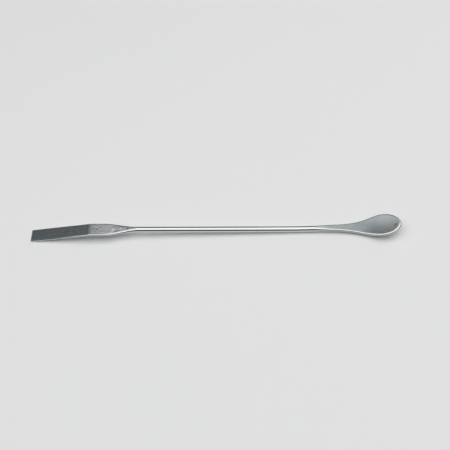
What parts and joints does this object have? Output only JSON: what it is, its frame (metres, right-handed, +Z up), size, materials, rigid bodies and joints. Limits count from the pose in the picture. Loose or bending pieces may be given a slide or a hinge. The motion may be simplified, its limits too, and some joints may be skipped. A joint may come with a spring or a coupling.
{
  "type": "lab spatula",
  "caption": "Lab spatula made from a round steel rod: a flat blade, bent down, at one end and a shallow rounded spoon at the other, for scooping and weighing out powders.",
  "frame": {"origin": "centre of the tool's length and width, on the surface it lies on", "axes": "+X along the tool from the blade to the spoon, +Y across it, +Z up, with the hollow of the spoon facing up"},
  "size_m": [0.179, 0.0132, 0.0057],
  "materials": {
    "stainless_steel": "drawn bright on the rod, pressed and tumbled to a satin on the two flattened ends"
  },
  "bodies": {
    "root": {"spatula": "stainless_steel"}
  },
  "joints": []
}
